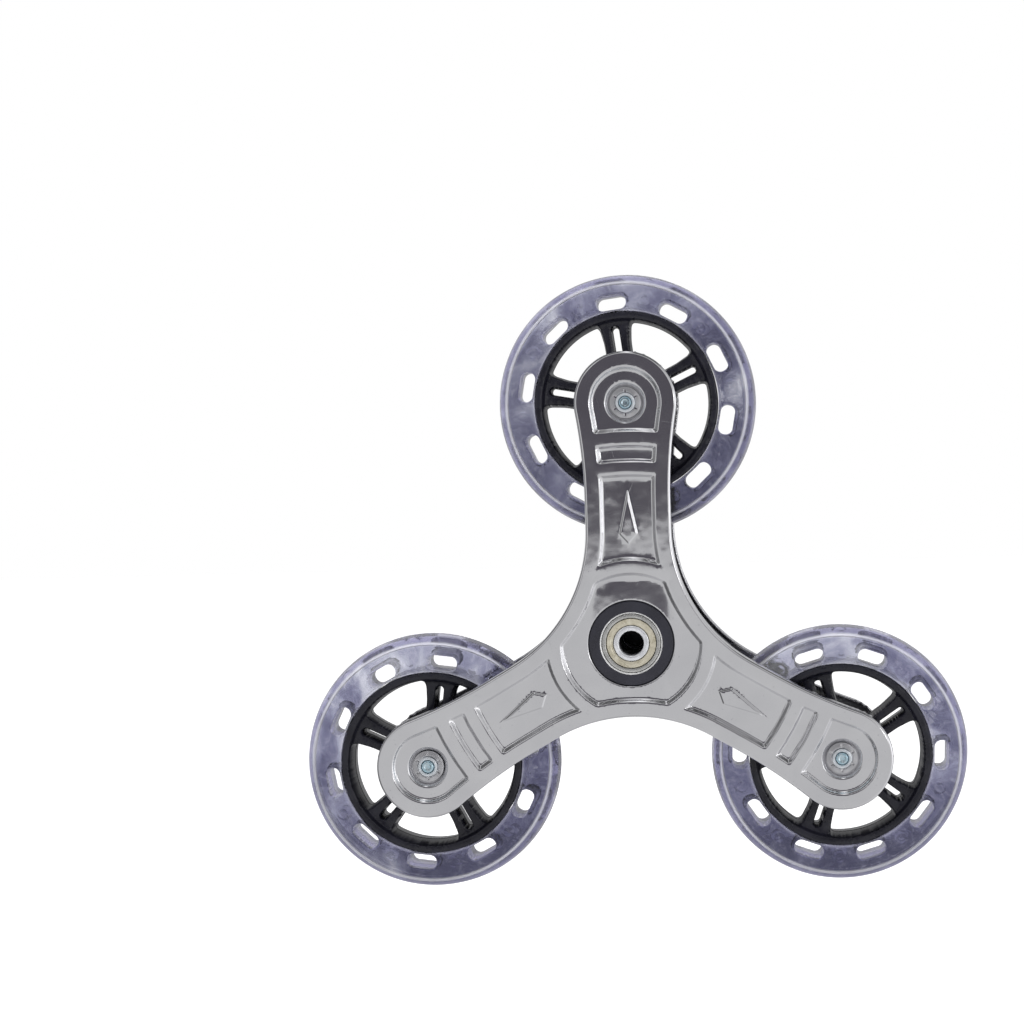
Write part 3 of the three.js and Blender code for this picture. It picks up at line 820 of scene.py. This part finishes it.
def spring_clip():
    """The clip: two legs in the neck's grooves, joined by a bow that leans outwards."""
    x, y, top = CLIP_X, CLIP_Y, CLIP_HIGH
    path = [(x, y, CLIP_LOW), (x, y, 0), (x, y, top - 4), (x, y, top - 1.2), (x - 0.4, y + 0.6, top),
            (x - 3, y + 4, top), (0, y + CLIP_LEAN - 1, top), (-4, y + CLIP_LEAN, top),
            (-x, y + CLIP_LEAN - 1.6, top), (-x - 0.8, y + 4, top), (-x - 0.2, y + 0.6, top),
            (-x, y, top - 1.2), (-x, y, top - 4), (-x, y, 0), (-x, y, CLIP_LOW)]
    return wire_along(smooth_curve(np.array(path, float), 0.5), WIRE_R, 14)


# ---------------------------------------------------------------- materials


def rgba(value):
    """A colour of three, or a grey, as a colour of four."""
    return (*value, 1) if isinstance(value, tuple) else (value, value, value, 1)


class NodeTree:
    """Adds linked nodes to a material or a world. A value is a number, a colour or a node's socket."""

    def __init__(self, owner):
        owner.use_nodes = True
        self.nodes, self.links = owner.node_tree.nodes, owner.node_tree.links

    def feed(self, socket, value):
        """Links a socket to a value's node, or sets it. None leaves it as it is."""
        if isinstance(value, bpy.types.NodeSocket):
            self.links.new(value, socket)
        elif value is not None:
            socket.default_value = value

    def node(self, kind, *values, **settings):
        """A new node with its settings made and its first sockets fed."""
        node = self.nodes.new("ShaderNode" + kind)
        for name, setting in settings.items():
            setattr(node, name, setting)
        for socket, value in zip(node.inputs, values):
            self.feed(socket, value)
        return node

    def maths(self, operation, *values):
        """The result of an operation on values."""
        return self.node("Math", *values, operation=operation).outputs[0]

    def ramp(self, value, *stops):
        """Colours or greys along a value."""
        ramp = self.node("ValToRGB", value)
        elements = ramp.color_ramp.elements
        while len(elements) < len(stops):
            elements.new(0.5)
        for element, (position, colour) in zip(elements, stops):
            element.position = position
            element.color = rgba(colour)
        return ramp.outputs[0]

    def mix(self, amount, first, second, blend="MIX"):
        """Two colours or greys mixed. Each is a node's socket, a tuple of three or a number."""
        mix = self.node("Mix", amount, data_type="RGBA", blend_type=blend)
        for socket, value in ((6, first), (7, second)):
            self.feed(mix.inputs[socket], value if isinstance(value, bpy.types.NodeSocket) else rgba(value))
        return mix.outputs[2]


class Finish(NodeTree):
    """A procedural material: a shader and the nodes that shape it."""

    def __init__(self, name, colour, **sockets):
        self.material = bpy.data.materials.new(name)
        super().__init__(self.material)
        self.shader = self.nodes["Principled BSDF"]
        self.place = self.nodes.new("ShaderNodeTexCoord").outputs["Object"]
        self.shader.inputs["Base Color"].default_value = (*colour, 1)
        for socket, value in sockets.items():
            self.shader.inputs[socket.replace("_", " ")].default_value = value

    def link(self, value, socket):
        """Feeds a socket of the shader."""
        self.links.new(value, self.shader.inputs[socket])

    def vary(self, socket, value, low, high, *covers):
        """Spreads a value between two colours or greys, lays covers over it, and feeds a socket."""
        spread = self.ramp(value, (0.3, low), (0.7, high))
        for mask, colour in covers:
            spread = self.mix(mask, spread, colour)
        self.link(spread, socket)

    def noise(self, scale, detail=3, stretch=(1, 1, 1), turn=(0, 0, 0), distortion=0):
        """Noise in metres: a scale of 1000 has features of about a millimetre, stretched as asked."""
        mapped = self.node("Mapping", self.place, None, turn, stretch, vector_type="TEXTURE").outputs[0]
        noise = self.node("TexNoise", mapped)
        for name, value in (("Scale", scale), ("Detail", detail), ("Distortion", distortion)):
            noise.inputs[name].default_value = value
        return noise.outputs[0]

    def bump(self, *layers):
        """Stacks bumps, each a height, a strength and a depth in metres."""
        normal = None
        for height, strength, depth in layers:
            bump = self.node("Bump")
            bump.inputs["Strength"].default_value = strength
            bump.inputs["Distance"].default_value = depth
            self.feed(bump.inputs["Height"], height)
            self.feed(bump.inputs["Normal"], normal)
            normal = bump.outputs[0]
        self.link(normal, "Normal")


def scratches(finish, scale, low, high):
    """Fine scratches in three directions, as a value that is 1 on a scratch."""
    value = None
    for i, turn in enumerate((0.5, 1.7, 2.8)):
        lines = finish.noise(scale * (1 + 0.3 * i), 2, (1, 1, 28), (0, turn, 0))
        lines = finish.ramp(lines, (low, 0.0), (high, 1.0))
        value = lines if value is None else finish.mix(1.0, value, lines, "LIGHTEN")
    return value


def polished_chrome():
    """The plates' outside: smudged, specked and lightly scratched."""
    finish = Finish("chrome_face", (0.86, 0.86, 0.875), Metallic=1.0)
    marks = scratches(finish, 700, 0.72, 0.80)
    smudges = finish.noise(38, 4, distortion=0.6)
    specks = finish.ramp(finish.noise(900, 2), (0.70, 0.0), (0.78, 1.0))
    finish.vary("Base Color", smudges, (0.80, 0.80, 0.82), (0.88, 0.88, 0.895),
                (specks, (0.62, 0.62, 0.66)), (marks, (0.93, 0.93, 0.94)))
    finish.vary("Roughness", smudges, 0.055, 0.1, (marks, 0.28))
    finish.bump((finish.noise(70, 2), 0.16, 0.0006), (marks, 0.05, 0.00004),
                (finish.noise(1500, 2), 0.03, 0.00003))
    return finish.material


def brushed_chrome():
    """The turned edge, with drawing marks across its depth."""
    finish = Finish("chrome_edge", (0.8, 0.8, 0.82), Metallic=1.0)
    streaks = finish.noise(900, 3, (1, 33, 1))
    broad = finish.noise(170, 3, (1, 20, 1))
    finish.vary("Base Color", broad, (0.62, 0.62, 0.65), (0.9, 0.9, 0.91))
    finish.vary("Roughness", streaks, 0.16, 0.36)
    finish.bump((broad, 0.25, 0.0004), (streaks, 0.25, 0.00012))
    return finish.material


def plain_steel():
    """The dull underside of the pressed sheet."""
    finish = Finish("sheet_underside", (0.5, 0.5, 0.52), Metallic=1.0)
    stains = finish.noise(60, 5, distortion=0.8)
    finish.vary("Base Color", stains, (0.36, 0.36, 0.38), (0.56, 0.56, 0.58))
    finish.vary("Roughness", finish.noise(400, 3), 0.32, 0.5)
    finish.bump((finish.noise(800, 3), 0.2, 0.0001))
    return finish.material


def black_moulding(name, tone, gloss, texture=0.25):
    """Black plastic: mottled, with scuffs, flow marks and paler worn edges."""
    finish = Finish(name, (tone, tone, tone * 1.6), Specular_IOR_Level=0.45)
    clouds = finish.noise(90, 4, distortion=0.2)
    marks = scratches(finish, 700, 0.74, 0.84)
    worn = finish.node("NewGeometry").outputs["Pointiness"]
    worn = finish.ramp(worn, (0.53, 0.0), (0.62, 0.55))
    dark, highlights_and_pale_walls = (tone * 0.75, tone * 0.75, tone * 1.2), (tone * 1.5, tone * 1.5, tone * 2.4)
    scratched, rubbed = (tone * 1.8, tone * 1.8, tone * 2.4), (tone * 4, tone * 4, tone * 4.3)
    finish.vary("Base Color", clouds, dark, highlights_and_pale_walls, (marks, scratched), (worn, rubbed))
    finish.vary("Roughness", clouds, gloss * 0.85, gloss * 1.25, (marks, 0.4))
    finish.bump((finish.noise(1100, 3), texture, 0.00008), (marks, 0.05, 0.00003), (clouds, 0.04, 0.0003))
    return finish.material


FLOW_TURN = 25                   # direction of the top tyre's flow streaks, in degrees
PAINTED_LIGHT_WAY = (-0.7, 0, 1.8)        # towards the lit upper left, where a tyre is painted paler as painted light, and how much more so per metre
HAZE_AND_PAINTED_LIGHT = ((0.40, (0.13, 0.13, 0.21)), (0.50, (0.25, 0.25, 0.36)), (0.58, (0.44, 0.45, 0.55)),
        (0.66, (0.88, 0.89, 0.92)))
# Painted highlight rings at the lip, the shoulder and the tread's edge, a band of painted violet shade
# inside that edge, and the radii where walls are paler, all in millimetres.
PAINTED_HIGHLIGHT_RINGS = ((44.6, 0.5), (45.4, 0.1), (46.2, 0.0), (56.9, 0.0), (57.6, 0.85), (58.6, 0.75),
              (59.3, 0.05), (60.8, 0.1), (61.8, 0.45))
VIOLET_SHADE_RINGS = ((58.8, 0.0), (59.6, 0.8), (61.6, 0.8), (62.3, 0.2))
SLOT_RINGS = ((44.4, 0.0), (44.6, 1.0), (53.2, 1.0), (53.6, 0.0))


def clear_polyurethane(name, turn):
    """Cast clear violet tyre: casting streaks, hazy patches, painted light that pales it towards the upper
    left, painted highlight rings, a painted shaded violet band near the tread's edge and paler slot walls.
    """
    finish = Finish(name, (0.6, 0.6, 0.75), IOR=1.46)
    level = finish.node("VectorMath", finish.place, (1, 0, 1), operation="MULTIPLY").outputs[0]
    radius = finish.node("VectorMath", level, operation="LENGTH").outputs["Value"]
    reach = 70
    radius = finish.maths("DIVIDE", radius, reach * MM)

    def ringed(stops):
        """A grey for each radius, from stops in millimetres."""
        return finish.ramp(radius, *((r / reach, grey) for r, grey in stops))

    flow_and_painted_light = finish.noise(21, 4, turn=(0, turn, 0), distortion=1.6)
    # Painted light: the tyre grows paler towards the upper left, the lit side, on top of its random
    # streaks.
    painted_light = finish.node("VectorMath", finish.place, PAINTED_LIGHT_WAY, operation="DOT_PRODUCT").outputs["Value"]
    flow_and_painted_light = finish.maths("ADD", flow_and_painted_light, painted_light)
    wisps = finish.noise(110, 4, distortion=3)
    colour = finish.mix(finish.ramp(wisps, (0.5, 0.0), (0.75, 0.3)), finish.ramp(flow_and_painted_light, *HAZE_AND_PAINTED_LIGHT),
                        (0.88, 0.89, 0.95))
    # A band of painted violet shade inside the tread's edge.
    colour = finish.mix(ringed(VIOLET_SHADE_RINGS), colour, (0.30, 0.28, 0.52))
    upright = finish.node("SeparateXYZ", finish.node("TexCoord").outputs["Normal"]).outputs[1]
    walls = finish.ramp(finish.maths("ABSOLUTE", upright), (0.25, 0.9), (0.5, 0.0))
    walls = finish.mix(1.0, walls, ringed(SLOT_RINGS), "MULTIPLY")
    # Painted highlight rings at the lip, the shoulder and the tread's edge, and paler walls round the
    # slots.
    highlights_and_pale_walls = finish.mix(walls, ringed(PAINTED_HIGHLIGHT_RINGS), 0.8)
    finish.link(finish.mix(highlights_and_pale_walls, colour, (0.88, 0.88, 0.93)), "Base Color")
    finish.vary("Roughness", wisps, 0.04, 0.14, (highlights_and_pale_walls, 0.2))
    finish.vary("Transmission Weight", flow_and_painted_light, 0.97, 0.85, (highlights_and_pale_walls, 0.55))
    finish.bump((wisps, 0.12, 0.0006), (finish.noise(600, 2), 0.06, 0.00008))
    body = finish.node("VolumeAbsorption")
    body.inputs["Color"].default_value = (0.44, 0.44, 0.56, 1)
    body.inputs["Density"].default_value = 50
    finish.links.new(body.outputs[0], finish.nodes["Material Output"].inputs["Volume"])
    return finish.material


def turned_steel(name, colour, gloss, metallic=1.0):
    """Bright turned or ground metal with fine circular tool marks."""
    finish = Finish(name, colour, Metallic=metallic)
    stains = finish.noise(300, 4)
    rings = finish.noise(2500, 2, (5, 1, 5))
    dark = tuple(0.82 * c for c in colour)
    finish.link(finish.ramp(stains, (0.3, dark), (0.65, colour)), "Base Color")
    finish.vary("Roughness", stains, gloss * 1.4, gloss * 0.8)
    finish.bump((rings, 0.12, 0.00003), (finish.noise(400, 2), 0.06, 0.00015))
    return finish.material


def zinc_plate():
    """Blue passivated zinc, faintly iridescent and matt."""
    finish = Finish("blue_zinc", (0.65, 0.85, 0.95), Metallic=1.0)
    film = finish.noise(350, 3, distortion=1)
    tints = ((0.3, (0.52, 0.80, 0.92)), (0.5, (0.70, 0.88, 0.96)), (0.7, (0.85, 0.92, 0.95)))
    finish.link(finish.ramp(film, *tints), "Base Color")
    finish.vary("Roughness", film, 0.16, 0.28)
    finish.bump((finish.noise(1600, 3), 0.12, 0.00005))
    return finish.material


def bearing_shield():
    """Yellowish pressed shield with a dusting of grease."""
    finish = Finish("bearing_shield", (0.8, 0.75, 0.6), Metallic=0.6)
    grease = finish.noise(320, 4, distortion=0.2)
    finish.vary("Base Color", grease, (0.48, 0.44, 0.33), (0.70, 0.66, 0.54))
    finish.vary("Roughness", grease, 0.22, 0.4)
    finish.bump((finish.noise(1500, 3), 0.1, 0.00004))
    return finish.material


def satin_cap():
    """Dark grey moulded cap with a fine spark-eroded grain."""
    finish = Finish("cap_plastic", (0.09, 0.093, 0.098))
    grain = finish.noise(1900, 4)
    clouds = finish.noise(120, 3, distortion=0.2)
    marks = scratches(finish, 600, 0.73, 0.82)
    finish.vary("Base Color", clouds, (0.075, 0.078, 0.083), (0.105, 0.108, 0.114),
                (marks, (0.14, 0.14, 0.15)))
    finish.vary("Roughness", clouds, 0.34, 0.5)
    finish.bump((grain, 0.35, 0.00009), (marks, 0.1, 0.00004))
    return finish.material


chrome = [polished_chrome(), brushed_chrome(), plain_steel()]
# A painted highlight: bright metal on the black core's seat bevel.
painted_highlight_bevel = turned_steel("painted_highlight_bevel", (0.93, 0.93, 0.93), 0.25, metallic=0.6)
core_black = [black_moulding("core_black", 0.012, 0.28), painted_highlight_bevel]
hub_black = [black_moulding("wheel_hub_black", 0.008, 0.26)]
neck_black = [black_moulding("neck_black", 0.02, 0.45)]
bright_steel = [turned_steel("ground_steel", (0.93, 0.94, 0.97), 0.2, metallic=0.75)]
race_steel = [turned_steel("race_steel", (0.68, 0.68, 0.66), 0.22, metallic=0.9)]
dark_steel = [turned_steel("turned_steel", (0.55, 0.55, 0.57), 0.3)]
wire_steel = [turned_steel("spring_wire", (0.75, 0.75, 0.77), 0.12)]
zinc = [zinc_plate()]
nut_steel = [turned_steel("nut_zinc", (0.86, 0.90, 0.94), 0.4, metallic=0.85)]
washer_steel = [turned_steel("washer_zinc", (0.74, 0.74, 0.76), 0.36)]
shield = [bearing_shield()]
cap_grey = [satin_cap()]

# ---------------------------------------------------------------- the pieces in place

ENDS = {"front": True, "rear": False}
# Name, surface, slot, materials, and how the mesh is shaded if not by its own faces.
HUB_PIECES = (
    ("plate", star_plate(), "chrome", chrome, pressed_normals),
    ("core", core_half(), "black_plastic", core_black, None),
    ("hub_bearing_outer", bearing_ring(OUTER_RACE_R, BEARING_R, 0.4), "steel", race_steel, None),
    ("hub_bearing_inner", bearing_ring(BORE_R, INNER_RACE_R, 0.5), "steel", bright_steel, None),
    ("hub_bearing_shield", pressed_shield(), "shield", shield, None),
    ("hub_bearing_balls", balls(), "steel", bright_steel, None),
)
tyre_surface, wheel_surface = tyre(), wheel_hub()
between_races = box_section(BOLT_BORE_R, 5, -RACE_Y + GAP, RACE_Y - GAP, 0.3)
beside_wheel = box_section(BOLT_BORE_R, 6, HUB_HALF + GAP, DISH_Y - SHEET - GAP, 0.4)
inner_race = box_section(BOLT_BORE_R, 4.7, RACE_Y, HUB_HALF, 0.3)
BOLT_PIECES = (
    ("bolt", bolt(), "zinc", zinc, False),
    ("nut", nut(), "zinc", nut_steel, True),
    ("inner_spacer", between_races, "steel", dark_steel, False),
)
RACE_PIECES = (
    ("wheel_bearing_outer", wheel_race(), bright_steel),
    ("wheel_bearing_inner", inner_race, bright_steel),
    ("side_spacer", beside_wheel, dark_steel),
)

for end, front in ENDS.items():
    for name, surface, slot_name, materials, shading in HUB_PIECES:
        build(f"{name}_{end}", surface, slot_name, materials, front=front, shading=shading)
sleeve_end = SEAT_Y - GAP
sleeve = box_section(BORE_R + 0.2, INNER_RACE_R, -sleeve_end, sleeve_end, 0.4)
build("axle_sleeve", sleeve, "steel", dark_steel)
build("end_cap", end_cap(), "grey_plastic", cap_grey)
build("spring_clip", spring_clip(), "steel", wire_steel)
retainer = frame["nodes"]["axle_retainer"]
retainer.data.materials.clear()
retainer.data.materials.append(neck_black[0])

for arm, turn in zip(ARMS, (0, 120, -120)):
    x, z = spun(np.array([0, ARM]), turn) * MM
    centre = (x, 0, z)
    polyurethane = [clear_polyurethane(f"polyurethane_{arm}", math.radians(turn + FLOW_TURN))]
    wheel = {"turn": ROLLED[arm], "centre": centre}
    build(f"tyre_{arm}", tyre_surface, "clear_polyurethane", polyurethane, **wheel)
    build(f"wheel_hub_{arm}", wheel_surface, "black_plastic", hub_black, **wheel)
    build(f"lock_washer_{arm}", washer(), "steel", washer_steel, front=True, turn=turn, centre=centre)
    for name, surface, slot_name, materials, front in BOLT_PIECES:
        build(f"{name}_{arm}", surface, slot_name, materials, front=front, centre=centre)
    for end, front in ENDS.items():
        for name, surface, materials in RACE_PIECES:
            build(f"{name}_{arm}_{end}", surface, "steel", materials, front=front, centre=centre)

# ---------------------------------------------------------------- floor, light and camera


# Greys of the room from the camera's side to the far side, and round the object from +X by +Z.
DEPTH_LIGHT = [(0.0, 0.54), (0.3, 0.62), (0.5, 0.62), (0.77, 0.60), (0.86, 1.1), (0.92, 0.85), (1.0, 0.76)]
RING_LIGHT = [(0.0, 1.3), (0.03, 1.1), (0.06, 0.6), (0.12, 0.4), (0.145, 0.08), (0.225, 0.08),
              (0.25, 1.1), (0.275, 0.1), (0.43, 0.14), (0.48, 0.25), (0.52, 0.25), (0.56, 0.12),
              (0.62, 0.2), (0.67, 0.55), (0.75, 0.4), (0.84, 0.6), (0.93, 0.75), (1.0, 1.3)]
# The ring's greys fade in and out between these y of a unit direction. The camera is at -Y.
RING_START, RING_END = (-0.9, -0.3), (0.32, 0.26)
# The far side is dimmer in a mirror than through a see-through tyre: where that starts, by how much.
BACK_EDGE, BACK_DIM = (0.60, 0.68), 0.4
LAMPS = [((-0.33, -0.87, 0.36), 0.13, 0.6), ((0.43, -0.9, 0.06), 0.09, 4)]   # aim, reach and strength
# The dark doorway behind the camera: where each side starts and ends, and its tint.
SHADE_LEFT, SHADE_RIGHT = (-0.36, -0.30), (0.26, 0.20)
SHADE_BOTTOM, SHADE_TOP = (-0.043, -0.037), (0.60, 0.45)
SHADE_COLOUR = (0.17, 0.16, 0.185)


def studio():
    """White to the camera. To a surface it is a room of soft boxes with dark gaps between them."""
    world = bpy.data.worlds.new("studio")
    bpy.context.scene.world = world
    room = NodeTree(world)

    def over(value, edge):
        """0 before an edge and 1 after it."""
        return room.node("MapRange", value, *edge, interpolation_type="SMOOTHSTEP").outputs[0]

    def greys(value, stops):
        """Faintly blue greys along a value."""
        return room.ramp(value, *((position, (grey, grey, grey * 1.015)) for position, grey in stops))

    direction = room.node("TexCoord").outputs["Generated"]
    x, y, z = room.node("SeparateXYZ", direction).outputs
    ray = room.node("LightPath").outputs
    outside = room.maths("SUBTRACT", 1, ray["Is Transmission Ray"])
    dim = room.maths("MULTIPLY_ADD", room.maths("MULTIPLY", over(y, BACK_EDGE), outside), -BACK_DIM, 1)
    depth = greys(room.maths("MULTIPLY_ADD", y, 0.5, 0.5), DEPTH_LIGHT)
    depth = room.node("VectorMath", depth, None, None, dim, operation="SCALE").outputs[0]
    around = room.maths("FRACT", room.maths("DIVIDE", room.maths("ARCTAN2", z, x), 2 * math.pi))
    sideways = room.maths("MULTIPLY", over(y, RING_START), over(y, RING_END))
    light = room.mix(sideways, depth, greys(around, RING_LIGHT))
    sides = room.maths("MULTIPLY", over(x, SHADE_LEFT), over(x, SHADE_RIGHT))
    ends = room.maths("MULTIPLY", over(z, SHADE_BOTTOM), over(z, SHADE_TOP))
    doorway = room.maths("MULTIPLY", room.maths("MULTIPLY", sides, ends), room.maths("LESS_THAN", y, 0))
    light = room.mix(doorway, light, SHADE_COLOUR, "MULTIPLY")
    for aim, reach, strength in LAMPS:
        away = room.node("VectorMath", direction, aim, operation="DISTANCE").outputs["Value"]
        lamp = room.maths("MULTIPLY", over(away, (reach, reach * 0.5)), strength)
        light = room.node("VectorMath", light, lamp, operation="ADD").outputs[0]
    reflected = room.node("Background", light, 1.0).outputs[0]
    seen = room.node("Background", (1, 1, 1, 1), 1.0).outputs[0]
    both = room.node("MixShader", ray["Is Camera Ray"], reflected, seen).outputs[0]
    room.links.new(both, room.nodes["World Output"].inputs[0])


def soft_box(name, place, size, power):
    """A rectangular lamp that is aimed at the origin and doesn't show in mirrors."""
    light = bpy.data.lights.new(name, "AREA")
    light.shape = "RECTANGLE"
    light.size, light.size_y = size
    light.energy = power
    lamp = bpy.data.objects.new(name, light)
    lamp.location = place
    lamp.visible_glossy = False
    lamp.rotation_euler = (-Vector(place)).to_track_quat("-Z", "Y").to_euler()
    bpy.context.scene.collection.objects.link(lamp)


def floor():
    """A pale studio floor, just clear of a wheel whose arm hangs straight down."""
    sheet = bmesh.new()
    bmesh.ops.create_grid(sheet, x_segments=8, y_segments=8, size=4)
    mesh = bpy.data.meshes.new("floor")
    sheet.to_mesh(mesh)
    sheet.free()
    ground = bpy.data.objects.new("floor", mesh)
    ground.location.z = -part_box("tyre_top")[1].z - 0.002
    ground.visible_glossy = False
    bpy.context.scene.collection.objects.link(ground)
    paper = Finish("floor_paper", (0.8, 0.8, 0.8), Roughness=0.9)
    paper.shader.inputs["Emission Color"].default_value = (1, 1, 1, 1)
    paper.shader.inputs["Emission Strength"].default_value = 0.72
    paper.bump((paper.noise(300, 3), 0.05, 0.0003))
    mesh.materials.append(paper.material)


studio()
soft_box("key", (-0.7, -0.8, 1.1), (0.7, 0.7), 14)
soft_box("fill", (0.9, -0.5, 0.7), (0.6, 0.9), 7)
floor()

camera = bpy.data.cameras.new("camera")
camera.lens = 72.2
camera.shift_x, camera.shift_y = -0.1466, 0.0455
viewer = bpy.data.objects.new("camera", camera)
viewer.location = (0.04903, -1.00345, 0.08992)
viewer.rotation_euler = [math.radians(degrees) for degrees in (87.0982, 1.4279, 1.8732)]
bpy.context.scene.collection.objects.link(viewer)
bpy.context.scene.camera = viewer
bpy.context.scene.view_settings.view_transform = "Standard"
